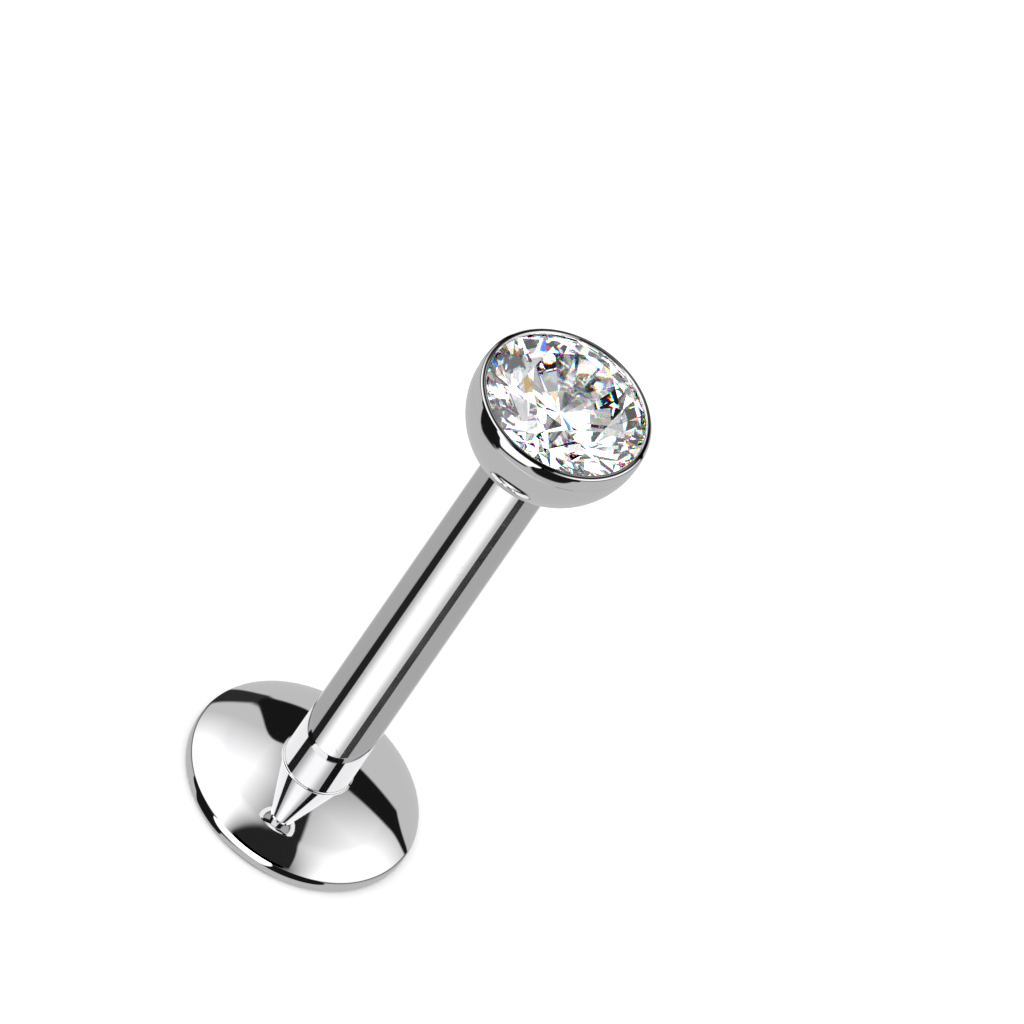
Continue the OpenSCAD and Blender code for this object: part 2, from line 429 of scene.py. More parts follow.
stem_rows = int(thread_len / thread_pitch * rows_a_turn)
stem_z = np.linspace(thread_top, thread_low, stem_rows)[:, None] * np.ones(sides)
fade_in = np.clip((thread_top - stem_z) / fade_len, 0, 1)
fade_out = np.clip((stem_z - thread_low) / fade_len, 0, 1)
stem_r = neck_r + (thread_r - neck_r) * ridge(stem_z) * (fade_in * fade_out)

socket_r = pin_r + pin_room
socket_z = thread_low + pin_root + pin_room
socket = joined(
    line((neck_r, thread_low), (socket_r, thread_low), steps=3),
    line((socket_r, thread_low), (socket_r, socket_z), steps=4),
    line((socket_r, socket_z), (0, socket_z), steps=3),
)
print("stem", stem_rows, "rows, socket", round((socket_z - thread_low) / mm, 3), "mm deep")

# %% Cup and stem as one surface
cup_grid_r, cup_grid_z = ring_grid(cup)
socket_grid_r, socket_grid_z = ring_grid(socket)
bezel_cup = closed_surface(
    "cup_and_stem",
    np.concatenate([cup_grid_r, stem_r[1:-1], socket_grid_r]),
    np.concatenate([cup_grid_z, stem_z[1:-1], socket_grid_z]),
)
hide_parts("bezel_cup")
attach(bezel_cup, "head")

# %% [markdown]
# ## The guide pin
#
# The pin finds the hole before the thread does. It is a short rod with a ball-shaped end and a small
# chamfer on the hidden end. A cylinder with a bevel would do, but its end would not be a true half ball.

# %% Guide pin
chamfer = 0.02 * mm
pin_profile = joined(
    line((0, pin_high), (pin_r - chamfer, pin_high), steps=3),
    line((pin_r - chamfer, pin_high), (pin_r, pin_high - chamfer), steps=3),
    line((pin_r, pin_high - chamfer), (pin_r, pin_low + pin_r), steps=6),
    arc((0, pin_low + pin_r), pin_r, 0, -math.pi / 2, steps=30),
)
guide_pin = closed_surface("pin_with_round_end", *ring_grid(pin_profile))
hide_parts("guide_pin")
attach(guide_pin, "guide")

# %% [markdown]
# ## Node helpers
#
# Materials are graphs of nodes. A few small helpers keep the cells short: they add a node with its
# settings, a step of arithmetic, a ramp or a mix. A value that is a plain number or colour goes on the
# socket, and an output is linked to it.

# %% Helpers for nodes


def add_node(tree, kind, **settings):
    """A new node of that kind, with its settings."""
    node = tree.nodes.new(kind)
    for name, value in settings.items():
        setattr(node, name, value)
    return node


def feed(tree, socket, value):
    """Puts a plain value on the socket, or links an output to it."""
    if isinstance(value, bpy.types.NodeSocket):
        tree.links.new(value, socket)
    else:
        socket.default_value = value


def calc(tree, operation, *values):
    """Output of a Math node with that operation on the values."""
    node = add_node(tree, "ShaderNodeMath", operation=operation)
    for socket, value in zip(node.inputs, values):
        feed(tree, socket, value)
    return node.outputs[0]


# %% Helpers for ramps and mixes


def ramp(tree, value, start, end, way="LINEAR"):
    """Output that is 0 where the value is at start and 1 where it is at end, with a straight way between.

    Start may be the larger of the two, and the output then falls as the value grows."""
    node = add_node(tree, "ShaderNodeMapRange", interpolation_type=way)
    feed(tree, node.inputs["Value"], value)
    feed(tree, node.inputs["From Min"], start)
    feed(tree, node.inputs["From Max"], end)
    return node.outputs[0]


def soft_step(tree, value, start, end):
    """A ramp whose way between is 3s^2 - 2s^3, so that it starts and ends without a kink."""
    return ramp(tree, value, start, end, "SMOOTHSTEP")


def mixed(tree, share, first, second):
    """Output of a colour mix: the first colour where the share is 0, and the second where it is 1.

    A Mix node has sockets for each kind of value. Its colours are inputs 6 and 7 and output 2."""
    node = add_node(tree, "ShaderNodeMix", data_type="RGBA")
    for socket, value in ((0, share), (6, first), (7, second)):
        feed(tree, node.inputs[socket], value)
    return node.outputs[2]


def mixed_shader(tree, share, first, second):
    """Output of a shader mix: the first shader where the share is 0, and the second where it is 1."""
    node = add_node(tree, "ShaderNodeMixShader")
    for socket, value in enumerate((share, first, second)):
        feed(tree, node.inputs[socket], value)
    return node.outputs[0]


# %% Helpers for groups


def new_group(name, inputs, outputs):
    """A shader node group with sockets for plain numbers, and its input and output nodes.

    inputs gives the default value for each name, and outputs is a list of names."""
    tree = bpy.data.node_groups.new(name, "ShaderNodeTree")
    for title, value in inputs.items():
        socket = tree.interface.new_socket(title, in_out="INPUT", socket_type="NodeSocketFloat")
        socket.default_value = value
    for title in outputs:
        tree.interface.new_socket(title, in_out="OUTPUT", socket_type="NodeSocketFloat")
    return tree, add_node(tree, "NodeGroupInput"), add_node(tree, "NodeGroupOutput")


def use_group(tree, group, values):
    """A group node in a tree, with the inputs that the values name set or linked."""
    node = add_node(tree, "ShaderNodeGroup", node_tree=group)
    for name, value in values.items():
        feed(tree, node.inputs[name], value)
    return node


# %% [markdown]
# ## Marks of turning and polishing
#
# Polished steel is never a perfect mirror. The lathe and the polishing wheel leave very fine lines that
# run round the axis, handling adds a few hairline scratches, and the sheen is a little uneven. The lines
# follow the radius and the height, so the group turns Object coordinates into those two and reads a noise
# there. An image of scratches would need a flat unwrapping, and it would blur in a view this close.

# %% Group for the marks on steel
steel_marks, marks_in, marks_out = new_group(
    "Turning and polishing marks",
    {"Line width": 0.01 * mm, "Patch size": 1.0 * mm},
    ["Lines", "Scratches", "Patches", "Radius", "Height"],
)
marks_place = add_node(steel_marks, "ShaderNodeTexCoord")
marks_axes = add_node(steel_marks, "ShaderNodeSeparateXYZ")
feed(steel_marks, marks_axes.inputs[0], marks_place.outputs["Object"])
marks_x, marks_y, marks_height = marks_axes.outputs
x_squared = calc(steel_marks, "MULTIPLY", marks_x, marks_x)
y_squared = calc(steel_marks, "MULTIPLY", marks_y, marks_y)
marks_radius = calc(steel_marks, "SQRT", calc(steel_marks, "ADD", x_squared, y_squared))
feed(steel_marks, marks_out.inputs["Radius"], marks_radius)
feed(steel_marks, marks_out.inputs["Height"], marks_height)
print("steel marks:", [item.name for item in steel_marks.interface.items_tree])

# %% Fine lathe lines and uneven sheen
line_detail = 2.0
patch_detail = 3.0

lines_a_metre = calc(steel_marks, "DIVIDE", 1.0, marks_in.outputs["Line width"])
lathe_place = add_node(steel_marks, "ShaderNodeCombineXYZ")
feed(steel_marks, lathe_place.inputs[0], calc(steel_marks, "MULTIPLY", marks_radius, lines_a_metre))
feed(steel_marks, lathe_place.inputs[1], calc(steel_marks, "MULTIPLY", marks_height, lines_a_metre))
lathe_noise = add_node(steel_marks, "ShaderNodeTexNoise")
lathe_noise.inputs["Scale"].default_value = 1.0
lathe_noise.inputs["Detail"].default_value = line_detail
feed(steel_marks, lathe_noise.inputs["Vector"], lathe_place.outputs[0])
feed(steel_marks, marks_out.inputs["Lines"], lathe_noise.outputs["Fac"])

patches_a_metre = calc(steel_marks, "DIVIDE", 1.0, marks_in.outputs["Patch size"])
patch_noise = add_node(steel_marks, "ShaderNodeTexNoise")
patch_noise.inputs["Detail"].default_value = patch_detail
feed(steel_marks, patch_noise.inputs["Vector"], marks_place.outputs["Object"])
feed(steel_marks, patch_noise.inputs["Scale"], patches_a_metre)
feed(steel_marks, marks_out.inputs["Patches"], patch_noise.outputs["Fac"])
print("steel marks:", len(steel_marks.nodes), "nodes so far")

# %% Hairline scratches
# A scratch is the border between two cells of a Voronoi pattern, kept only where a noise is high
scratch_scale = 1 / (0.55 * mm)
scratch_width = 0.012
scratched_from = 0.58
scratched_whole = 0.66

scratch_cells = add_node(steel_marks, "ShaderNodeTexVoronoi", feature="DISTANCE_TO_EDGE")
scratch_cells.inputs["Scale"].default_value = scratch_scale
feed(steel_marks, scratch_cells.inputs["Vector"], marks_place.outputs["Object"])
scratch_noise = add_node(steel_marks, "ShaderNodeTexNoise")
scratch_noise.inputs["Scale"].default_value = scratch_scale
feed(steel_marks, scratch_noise.inputs["Vector"], marks_place.outputs["Object"])
scratch_line = ramp(steel_marks, scratch_cells.outputs["Distance"], scratch_width, 0.0)
scratch_part = ramp(steel_marks, scratch_noise.outputs["Fac"], scratched_from, scratched_whole)
some_scratches = calc(steel_marks, "MULTIPLY", scratch_line, scratch_part)
feed(steel_marks, marks_out.inputs["Scratches"], some_scratches)
print("steel marks:", len(steel_marks.nodes), "nodes")

# %% [markdown]
# ## Polished, turned and satin steel
#
# Surgical steel is a neutral grey metal, and here it sends back four fifths of the light. What makes it
# read as steel is the sharpness of what it mirrors, so the colour hardly varies and the roughness does: a
# few hundredths on the mirror faces, and several times that inside the thread and the bore, which no wheel
# can reach. Round the top of the cup's shoulder, where the lip is pressed down, one fine dark ring is
# painted into the colour: a painted dark reflection, which the sky's cards don't give there. One function
# makes all three steels, because they differ only in their values.

# %% Masks for satin and for the painted dark ring
satin_reach = 0.46 * mm
ring_outer_share = 1.2
ring_inner_share = 0.6


def satin_mask(tree, marks, low, high):
    """1 near the axis between the heights low and high, and 0 elsewhere."""
    under = calc(tree, "LESS_THAN", marks.outputs["Height"], high)
    over = calc(tree, "GREATER_THAN", marks.outputs["Height"], low)
    near_axis = calc(tree, "LESS_THAN", marks.outputs["Radius"], satin_reach)
    return calc(tree, "MULTIPLY", calc(tree, "MULTIPLY", under, over), near_axis)


def ring_mask(tree, marks, radius, half_width, low):
    """1 within half_width of the radius and over the height low, with soft edges, and 0 elsewhere."""
    off_middle = calc(tree, "ABSOLUTE", calc(tree, "SUBTRACT", marks.outputs["Radius"], radius))
    edge = soft_step(tree, off_middle, ring_outer_share * half_width, ring_inner_share * half_width)
    over = calc(tree, "GREATER_THAN", marks.outputs["Height"], low)
    return calc(tree, "MULTIPLY", edge, over)


print("satin up to", round(satin_reach / mm, 3), "mm off the axis")

# %% Steel material
steel_colour = (0.80, 0.80, 0.81, 1.0)
dull_colour = (0.70, 0.70, 0.705, 1.0)
# Near-black colour of the painted dark reflection ring on the cup's shoulder
painted_reflection_colour = (0.02, 0.02, 0.022, 1.0)
patch_shade = 0.12
satin_shade = 0.5
satin_roughness = 0.22
scratch_share = 2.0


def steel(name, shine, spread, relief, satin_heights=None, painted_dark_ring=None):
    """Steel whose roughness runs from shine by spread, with lathe lines as deep as relief, in metres.

    Roughness is shine + spread * (patches + scratch_share * scratches), and more where it is satin. The
    colour goes from steel_colour to dull_colour with the patches and the satin. satin_heights is the low
    and high end of the satin, and painted_dark_ring is the radius, the half width and the low end of the ring."""
    material = bpy.data.materials.new(name)
    material.use_nodes = True
    tree = material.node_tree
    shader = tree.nodes["Principled BSDF"]
    shader.inputs["Metallic"].default_value = 1.0
    marks = use_group(tree, steel_marks, {})
    uneven = calc(tree, "MULTIPLY", marks.outputs["Patches"], spread)
    scratched = calc(tree, "MULTIPLY", marks.outputs["Scratches"], scratch_share * spread)
    roughness = calc(tree, "ADD", calc(tree, "ADD", uneven, shine), scratched)
    shade = calc(tree, "MULTIPLY", marks.outputs["Patches"], patch_shade)
    if satin_heights:
        satin = satin_mask(tree, marks, *satin_heights)
        roughness = calc(tree, "MULTIPLY_ADD", satin, satin_roughness, roughness)
        shade = calc(tree, "MULTIPLY_ADD", satin, satin_shade, shade)
    colour = mixed(tree, shade, steel_colour, dull_colour)
    # Painted dark reflection: a fine dark ring mixed into the colour round the cup's shoulder
    if painted_dark_ring:
        colour = mixed(tree, ring_mask(tree, marks, *painted_dark_ring), colour, painted_reflection_colour)
    bump = add_node(tree, "ShaderNodeBump")
    bump.inputs["Strength"].default_value = 1.0
    bump.inputs["Distance"].default_value = relief
    feed(tree, bump.inputs["Height"], marks.outputs["Lines"])
    feed(tree, shader.inputs["Base Color"], colour)
    feed(tree, shader.inputs["Roughness"], roughness)
    feed(tree, shader.inputs["Normal"], bump.outputs[0])
    print(name, "shine", shine, "relief", round(relief / mm, 7), "mm")
    return material


# %% Steel on the three pieces
wheel_relief = 1e-6 * mm
lathe_relief = 6e-6 * mm
mouth_depth = 0.02 * mm
ball_gap = 0.01 * mm
ring_off = 0.031 * mm
ring_half = 0.018 * mm

bore_satin = (bore_low - end_room, post_top - mouth_depth)
stem_satin = (thread_low - end_room, ball_z - ball_r - ball_gap)
# Radius, half width and low end of the painted dark reflection ring on the cup's shoulder
painted_shoulder_ring = (shoulder_r + ring_off, ring_half, lip_top - shoulder_round)
post_steel = steel(
    "Mirror polished steel", shine=0.02, spread=0.02, relief=wheel_relief, satin_heights=bore_satin
)
cup_steel = steel(
    "Polished cup steel", shine=0.03, spread=0.02, relief=wheel_relief,
    satin_heights=stem_satin, painted_dark_ring=painted_shoulder_ring,
)
pin_steel = steel("Turned pin steel", shine=0.14, spread=0.06, relief=lathe_relief)
disc_post.data.materials.append(post_steel)
bezel_cup.data.materials.append(cup_steel)
guide_pin.data.materials.append(pin_steel)

# %% [markdown]
# ## The clear stone
#
# Cubic zirconia has a refractive index of about 2.15 to 2.18, a lot more than glass, so nearly all the
# light that goes in at the top is thrown back by the pavilion and comes out again. It also splits colours,
# which gives the blue and orange fire. Cycles bends all colours alike, so what the camera sees first is a
# mix of three glasses, one each for red, green and blue, and every later bounce is one plain glass. Each
# of the three has a third of the mix and is three times as strong. Splitting each bounce as well would be
# truer, but much noisier.

# %% Stone material
stone_index = 2.18
fire = 0.015
clear_colour = (0.99, 0.995, 1.0, 1.0)
channels = 3

stone_glass = bpy.data.materials.new("Clear stone")
stone_glass.use_nodes = True
glass_tree = stone_glass.node_tree
plain_glass = glass_tree.nodes["Principled BSDF"]
plain_glass.inputs["Base Color"].default_value = clear_colour
plain_glass.inputs["Transmission Weight"].default_value = 1.0
plain_glass.inputs["Roughness"].default_value = 0.0
plain_glass.inputs["IOR"].default_value = stone_index
glasses = []
for channel, bend in enumerate((-fire, 0.0, fire)):
    tint = [0.0, 0.0, 0.0, 1.0]
    tint[channel] = float(channels)
    tinted = add_node(glass_tree, "ShaderNodeBsdfGlass")
    tinted.inputs["Color"].default_value = tint
    tinted.inputs["Roughness"].default_value = 0.0
    tinted.inputs["IOR"].default_value = stone_index + bend
    glasses.append(tinted.outputs[0])
two_colours = mixed_shader(glass_tree, 1 / 2, glasses[0], glasses[1])
three_colours = mixed_shader(glass_tree, 1 / channels, two_colours, glasses[2])
light_path = add_node(glass_tree, "ShaderNodeLightPath")
from_camera = light_path.outputs["Is Camera Ray"]
either_glass = mixed_shader(glass_tree, from_camera, plain_glass.outputs[0], three_colours)
feed(glass_tree, glass_tree.nodes["Material Output"].inputs["Surface"], either_glass)
print("stone material:", len(glass_tree.nodes), "nodes")

# %% Stone
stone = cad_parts["stone"]
stone.data.materials.clear()
stone.data.materials.append(stone_glass)
print("stone faces", len(stone.data.polygons), "index", stone_index, "fire", fire)

# %% [markdown]
# ## Camera
#
# The picture has no perspective, so the camera is orthographic. It looks down at 46.3 degrees, and it is
# rolled, which lays the upright stud over to the right in the picture while it really stands on its disc.

# %% Camera
camera_elevation = math.radians(46.3)
lean = math.radians(34.68)
picture_width = 16.384 * mm
aim = Vector((0.263 * mm, 0, 8.105 * mm))
camera_distance = 60 * mm
nearest_seen = 1 * mm
farthest_seen = 10.0

ahead = Vector((0, math.cos(camera_elevation), -math.sin(camera_elevation)))
level_right = Vector((1, 0, 0))
level_up = level_right.cross(ahead)
right = math.cos(lean) * level_right + math.sin(lean) * level_up
up = math.cos(lean) * level_up - math.sin(lean) * level_right
camera_data = bpy.data.cameras.new("Camera")
camera_data.type = "ORTHO"
camera_data.ortho_scale = picture_width
camera_data.clip_start = nearest_seen
camera_data.clip_end = farthest_seen
camera = bpy.data.objects.new("Camera", camera_data)
turned = Matrix((right, up, -ahead)).transposed().to_4x4()
camera.matrix_world = Matrix.Translation(aim - ahead * camera_distance) @ turned
bpy.context.scene.collection.objects.link(camera)
bpy.context.scene.camera = camera
print("camera at", [round(c / mm, 2) for c in camera.location], "mm")

# %% [markdown]
# ## The studio
#
# Mirror metal looks like whatever stands round it, so a jewel photographer builds the picture from cards:
# white ones for the bright faces and black ones for the crisp dark lines. Here the cards are soft-edged
# patches in the world, each given by the direction of its middle and its half width and height in degrees.
# Lamps could do it too, but each would also light the floor, which has to stay even.
#
# A card is where the distance n is under 1, with n to the power p equal to |dx / a|^p + |dy / b|^p. With p
# at 2 it is an ellipse, and with p at 8 it is a box with rounded corners, as the front of a softbox is. A
# flare makes the card wider towards its top, and a tilt makes its top and bottom edges rise to one side.

# %% Group for one card
studio_card, card_in, card_out = new_group(
    "Studio card",
    {
        "Azimuth": 0.0,
        "Elevation": 0.0,
        "Middle azimuth": 0.0,
        "Middle elevation": 0.0,
        "Half width": 10.0,
        "Half height": 10.0,
        "Power": 4.0,
        "Softness": 0.05,
        "Flare": 0.0,
        "Tilt": 0.0,
    },
    ["Mask"],
)


def card_calc(operation, *values):
    """Output of a Math node in the card's group. A value that is a name stands for that input."""
    outputs = [card_in.outputs[value] if isinstance(value, str) else value for value in values]
    return calc(studio_card, operation, *outputs)


from_side = card_calc("SUBTRACT", "Azimuth", "Middle azimuth")
from_level = card_calc("SUBTRACT", "Elevation", "Middle elevation")
card_half = card_calc("ADD", "Half width", card_calc("MULTIPLY", from_level, "Flare"))
sideways = card_calc("DIVIDE", from_side, card_half)
tilted = card_calc("SUBTRACT", from_level, card_calc("MULTIPLY", from_side, "Tilt"))
upwards = card_calc("DIVIDE", tilted, "Half height")
powered = [card_calc("POWER", card_calc("ABSOLUTE", share), "Power") for share in (sideways, upwards)]
one_over_power = card_calc("DIVIDE", 1.0, "Power")
card_distance = card_calc("POWER", card_calc("ADD", *powered), one_over_power)
card_outer = card_calc("ADD", 1.0, "Softness")
card_inner = card_calc("SUBTRACT", 1.0, "Softness")
card_mask = soft_step(studio_card, card_distance, card_outer, card_inner)
feed(studio_card, card_out.inputs["Mask"], card_mask)
print("studio card:", len(studio_card.nodes), "nodes")

# %% [markdown]
# ## Directions in the sky
#
# The world's shader is asked for the light of one direction at a time. Texture Coordinate gives that
# direction as x, y and z, which become an azimuth and an elevation in degrees, as a photographer would
# give the place of a card. Azimuth 0 is the camera's side and grows to the right, and elevation 0 is level.

# %% World and directions
world = bpy.data.worlds.new("Studio")
world.use_nodes = True
bpy.context.scene.world = world
sky = world.node_tree
degrees = 180 / math.pi


def sky_calc(operation, *values):
    """Output of a Math node in the sky with that operation on the values."""
    return calc(sky, operation, *values)


def product(*values):
    """Output in the sky that is the product of all the values."""
    total = values[0]
    for value in values[1:]:
        total = sky_calc("MULTIPLY", total, value)
    return total


def sky_step(value, start, end):
    """Output in the sky that goes smoothly from 0 at start to 1 at end."""
    return soft_step(sky, value, start, end)


sky_place = add_node(sky, "ShaderNodeTexCoord")
sky_axes = add_node(sky, "ShaderNodeSeparateXYZ")
feed(sky, sky_axes.inputs[0], sky_place.outputs["Generated"])
sky_x, sky_y, sky_z = sky_axes.outputs
towards_camera = product(sky_y, -1.0)
azimuth = product(sky_calc("ARCTAN2", sky_x, towards_camera), degrees)
elevation = product(sky_calc("ARCSINE", sky_z), degrees)
print("directions:", len(sky.nodes), "nodes")

# %% Layers of light
white = 1.3
black = 0.01
place_names = ("Middle azimuth", "Middle elevation", "Half width", "Half height", "Power", "Softness")
shift_names = ("Flare", "Tilt")


def as_colour(brightness):
    """A plain number as a grey colour. An output is handed on as it is."""
    if isinstance(brightness, bpy.types.NodeSocket):
        return brightness
    return (brightness, brightness, brightness, 1.0)


def laid_over(light, mask, brightness):
    """The light, with another light laid over it where the mask is 1. Each is a number or an output."""
    return mixed(sky, mask, as_colour(light), as_colour(brightness))


def with_cards(light, cards):
    """The light with each card laid over the ones before it."""
    for title, place, shift, brightness in cards:
        values = dict(zip(place_names + shift_names, place + shift))
        values.update({"Azimuth": azimuth, "Elevation": elevation})
        card = use_group(sky, studio_card, values)
        card.label = title
        light = laid_over(light, card.outputs["Mask"], brightness)
    return light


print("white card", white, "black card", black)

# %% [markdown]
# ## The cards
#
# Each card has a title, a place, a shift and a brightness. The place is its azimuth, elevation, half
# width, half height, power and softness, and the shift is its flare and tilt. The front cards are laid
# down before the white sky, and the far ones, which stand behind the stud, are laid over it. The post has
# cards of its own. They reach over all heights, because the light that comes off it straight to the eye
# comes from one elevation all round, so only the azimuth tells one card from another.

# %% Cards
straight = (0, 0)
all_heights = (400, 8)

front_cards = [
    ("nadir flag", (0, -90, 900, 9, 8, 0.15), straight, black),
    ("left dark wall", (-58, -11, 24, 38.5, 5, 0.04), straight, black),
    ("right dark wall", (31, -0.3, 30, 38.6, 4, 0.03), straight, black),
    ("dark line", (-18, -38.3, 21, 1.7, 6, 0.15), (0, 0.11), black),
    ("front softbox", (-15, 0.5, 29, 37.2, 8, 0.02), (0.12, 0.11), white),
]
far_cards = [
    ("left far ring", (-180, -6, 38.5, 43, 2, 0.04), straight, 0.03),
    ("left far inside", (-180, -6, 26.5, 38, 2, 0.03), straight, 0.63),
    ("left far flag", (-166, 34, 9, 12, 4, 0.06), straight, black),
    ("right far ring", (175, 3, 44, 45, 2, 0.02), straight, black),
    ("right far inside", (177, -3, 42, 37, 2.3, 0.02), straight, 0.63),
]
post_cards = [
    ("far glow, left", (-180, 0, 26, *all_heights, 0.5), straight, 0.85),
    ("far glow, right", (180, 0, 26, *all_heights, 0.5), straight, 0.85),
    ("near glow", (-1, 0, 50, *all_heights, 0.04), straight, 0.67),
    ("near white", (-1, 0, 27, *all_heights, 0.6), straight, 1.5),
    ("left flag", (-60, 0, 13, *all_heights, 0.12), straight, 0.02),
    ("right flag", (58, 0, 12, *all_heights, 0.08), straight, black),
]
print(len(front_cards + far_cards + post_cards), "cards in the studio")

# %% [markdown]
# ## Which light meets what
#
# All parts of the stud see the same world, and no single set of cards gives the dome, the cup, the post
# and the stone what each of them mirrors in a real picture. So the shader also asks how the light has
# come. Its ray depth counts one more than the bounces before the sky. Light that comes out of the stone
# has bounced more often than light off the steel, and light that goes up after its second bounce has
# mostly been mirrored by both the post and the disc.

# %% Kinds of light
steel_depth = 3.5
second_depth = 3.0
depth_reach = 0.5

sky_path = add_node(sky, "ShaderNodeLightPath")
ray_depth = sky_path.outputs["Ray Depth"]
few_bounces = sky_calc("LESS_THAN", ray_depth, steel_depth)
steel_only = product(few_bounces, sky_path.outputs["Is Glossy Ray"])
through_stone = sky_calc("SUBTRACT", 1.0, few_bounces)
second_bounce = sky_calc("COMPARE", ray_depth, second_depth, depth_reach)
print("sky:", len(sky.nodes), "nodes so far")

# %% [markdown]
# ## Horizon, overhead flag and ceiling
#
# Over the front cards hangs a white sky. It starts at a horizon that is high in front and low at the
# back. Just under it runs a dark rim, which fades downwards into grey. A flat black flag hangs overhead,
# and its edges are straight lines in x / z and y / z, as seen from the stud, so it puts a dark wedge with
# straight sides on the dome. The ceiling round the flag is brightest far out to the sides, and falls off
# evenly towards the flag and the back.

# %% Horizon
horizon_swing = 46.0
horizon_drop = 8.0
horizon_rate = 0.65
horizon_soft = 0.7
rim_start = -26.0
rim_end = -8.0
rim_strength = 0.85

# The horizon's elevation is swing * cos(rate * azimuth) - drop: 38 degrees in front and -29 at the back
horizon = sky_calc("COSINE", product(azimuth, horizon_rate / degrees))
horizon = sky_calc("SUBTRACT", product(horizon, horizon_swing), horizon_drop)
from_horizon = sky_calc("SUBTRACT", elevation, horizon)
over_horizon = sky_step(from_horizon, -horizon_soft, horizon_soft)
dark_rim = product(sky_step(from_horizon, rim_start, rim_end), rim_strength)
print("horizon in front at", horizon_swing - horizon_drop, "degrees")

# %% Overhead flag
front_soft = 0.2
left_lean = 0.53
right_lean = 0.22
right_front_lean = 0.21
left_side = (-0.1, 0.05)
right_side = (0.235, 0.205)
lowest_flag = (38.4, 39.6)
stone_share = 0.75

# The front part is y / z towards the camera, and 0 at the back, with a smooth bend between the two
over_right = sky_calc("DIVIDE", sky_x, sky_z)
over_front = sky_calc("DIVIDE", towards_camera, sky_z)
front_part = sky_calc("SMOOTH_MAX", over_front, 0.0, front_soft)
left_edge = sky_calc("ADD", over_right, product(front_part, left_lean))
right_edge = sky_calc("SUBTRACT", over_right, product(over_front, right_lean))
right_edge = sky_calc("SUBTRACT", right_edge, product(front_part, right_front_lean))
flag = product(sky_step(left_edge, *left_side), sky_step(right_edge, *right_side))
flag = product(flag, sky_step(elevation, *lowest_flag))

# Only a part of the flag meets the light through the stone, which keeps the stone bright
flag_seen = sky_calc("ADD", steel_only, product(through_stone, stone_share))
flag = product(flag, flag_seen)
print("sky:", len(sky.nodes), "nodes so far")

# %% Ceiling
left_slope = -3.6
left_start = 0.124
right_slope = 1.45
right_start = 0.418
right_ceiling_lean = 0.75
back_slope = 1.8
back_start = 1.756
back_least = 0.5
side_rise = (0.1, 0.2)
high_rise = (30.0, 38.0)

left_light = sky_calc("MULTIPLY_ADD", left_edge, left_slope, left_start)
right_way = sky_calc("SUBTRACT", over_right, product(front_part, right_ceiling_lean))
right_light = sky_calc("MULTIPLY_ADD", right_way, right_slope, right_start)
ceiling = sky_calc("MINIMUM", sky_calc("MAXIMUM", left_light, right_light), white)
back_share = sky_calc("MULTIPLY_ADD", towards_camera, back_slope, back_start)
back_share = sky_calc("MAXIMUM", sky_calc("MINIMUM", back_share, 1.0), back_least)
ceiling = product(ceiling, back_share)

far_aside = sky_step(sky_calc("ABSOLUTE", sky_x), *side_rise)
high_up = sky_calc("MAXIMUM", sky_step(elevation, *high_rise), far_aside)
high_up = product(high_up, over_horizon, steel_only)
print("sky:", len(sky.nodes), "nodes so far")

# %% [markdown]
# ## Light for the stone and the post
#
# A brilliant sparkles because its facets throw the eye from a bright place to a dark one. A ring of five
# black cards high round the stud does that here, and only light through the stone meets it. Light off the
# post is known by its slope: a ray from the camera that is mirrored by an upright cylinder goes on just as
# steeply as it came, at the camera's elevation. That is how the post's own cards are kept to the post.

# %% Ring of cards for the stone
ring_count = 5
ring_edge = (0.68, 0.74)
ring_low_edge = (18.0, 22.0)
ring_high_edge = (66.0, 62.0)

ring_wave = sky_calc("COSINE", product(azimuth, ring_count / degrees))
ring_of_cards = product(sky_step(ring_wave, *ring_edge), through_stone)
ring_of_cards = product(ring_of_cards, sky_step(elevation, *ring_low_edge))
ring_of_cards = product(ring_of_cards, sky_step(elevation, *ring_high_edge))
print(ring_count, "cards for the stone, from", ring_low_edge[0], "to", ring_high_edge[0], "degrees")

# %% Light off the post
post_level = -math.degrees(camera_elevation)
post_reach = (0.25, 0.15)
up_rise = (0.0, 8.0)

from_post_level = sky_calc("ABSOLUTE", sky_calc("SUBTRACT", elevation, post_level))
off_post = sky_step(from_post_level, *post_reach)
going_up = product(second_bounce, sky_step(elevation, *up_rise))
off_post = sky_calc("MAXIMUM", off_post, going_up)
print("post's light at", round(post_level, 2), "degrees")

# %% All layers together
grey = 0.58
rim_light = 0.1
stone_white = 2.2
flag_light = 0.02
post_grey = 0.46

light = laid_over(grey, dark_rim, rim_light)
light = with_cards(light, front_cards)
light = laid_over(light, over_horizon, white)
light = laid_over(light, product(over_horizon, through_stone), stone_white)
light = laid_over(light, high_up, ceiling)
light = with_cards(light, far_cards)
light = laid_over(light, ring_of_cards, black)
light = laid_over(light, flag, flag_light)
post_light = with_cards(laid_over(post_grey, going_up, white), post_cards)
whole_light = laid_over(light, off_post, post_light)
print("sky:", len(sky.nodes), "nodes so far")

# %% [markdown]
# ## What the camera and the floor see
#
# The camera sees a plain white backdrop instead of the cards. The floor is matt and scatters what it gets,
# so the cards would show only as an average. It is lit by an even sky of that brightness, which is quick
# to work out.

# %% Backdrop and sky for the floor
backdrop = 1.05
floor_light = 1.15

shown_sky = laid_over(whole_light, sky_path.outputs["Is Camera Ray"], backdrop)
cards_sky = sky.nodes["Background"]
feed(sky, cards_sky.inputs["Color"], shown_sky)
floor_sky = add_node(sky, "ShaderNodeBackground")
feed(sky, floor_sky.inputs["Color"], as_colour(floor_light))
for_floor = sky_path.outputs["Is Diffuse Ray"]
both_skies = mixed_shader(sky, for_floor, cards_sky.outputs[0], floor_sky.outputs[0])
feed(sky, sky.nodes["World Output"].inputs["Surface"], both_skies)
print("sky:", len(sky.nodes), "nodes")

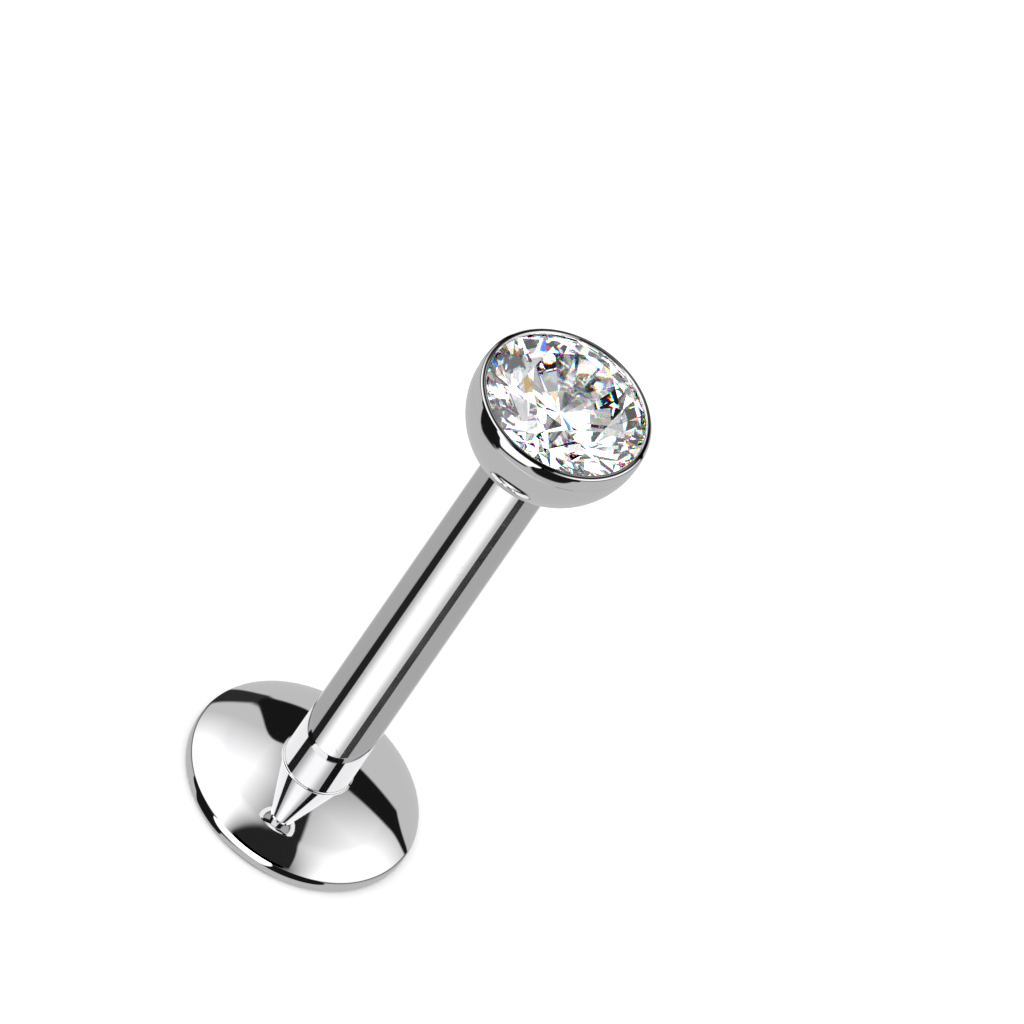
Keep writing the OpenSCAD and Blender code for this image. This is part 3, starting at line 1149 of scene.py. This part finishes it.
# %% [markdown]
# ## Floor and shadow light
#
# The stud stands on its flat back, on a plain pale floor. The floor is left out of the mirror's sight, so
# that the steel keeps the clean card pattern underneath, as on a stud that is shot on a glass table. One
# large soft lamp overhead gives the faint shadow that says that the disc touches the floor.

# %% Floor
floor_half = 0.6
floor_colour = (0.94, 0.94, 0.94, 1.0)

floor_mesh = bpy.data.meshes.new("floor")
floor_signs = [(-1, -1), (1, -1), (1, 1), (-1, 1)]
floor_mesh.from_pydata([(x * floor_half, y * floor_half, 0) for x, y in floor_signs], [], [(0, 1, 2, 3)])
floor = bpy.data.objects.new("floor", floor_mesh)
bpy.context.scene.collection.objects.link(floor)
floor_paint = bpy.data.materials.new("Pale floor")
floor_paint.use_nodes = True
floor_shader = floor_paint.node_tree.nodes["Principled BSDF"]
floor_shader.inputs["Base Color"].default_value = floor_colour
floor_shader.inputs["Roughness"].default_value = 1.0
floor_shader.inputs["Specular IOR Level"].default_value = 0.0
floor_mesh.materials.append(floor_paint)
floor.visible_glossy = False
print("floor", round(2 * floor_half, 2), "m wide")

# %% Overhead lamp
lamp_width = 60 * mm
lamp_power = 0.006
lamp_place = Vector((-20 * mm, -10 * mm, 60 * mm))

lamp_data = bpy.data.lights.new("Overhead lamp", "AREA")
lamp_data.shape = "DISK"
lamp_data.size = lamp_width
lamp_data.energy = lamp_power
lamp = bpy.data.objects.new("Overhead lamp", lamp_data)
lamp.location = lamp_place
lamp.rotation_euler = (-lamp_place).to_track_quat("-Z", "Y").to_euler()
lamp.visible_glossy = False
lamp.visible_transmission = False
lamp.visible_camera = False
bpy.context.scene.collection.objects.link(lamp)
print("lamp of", round(lamp_power * 1000, 1), "mW")

# %% [markdown]
# ## View and bounces
#
# The Standard view shows the lights as they are, without a film curve over them. Light goes round inside
# the stone before it comes out, partly by glossy bounces, so these get as many as transmission does.

# %% View and bounces
light_bounces = 12

bpy.context.scene.view_settings.view_transform = "Standard"
bpy.context.scene.cycles.max_bounces = light_bounces
bpy.context.scene.cycles.glossy_bounces = light_bounces
bpy.context.scene.cycles.transmission_bounces = light_bounces
print("up to", light_bounces, "bounces")
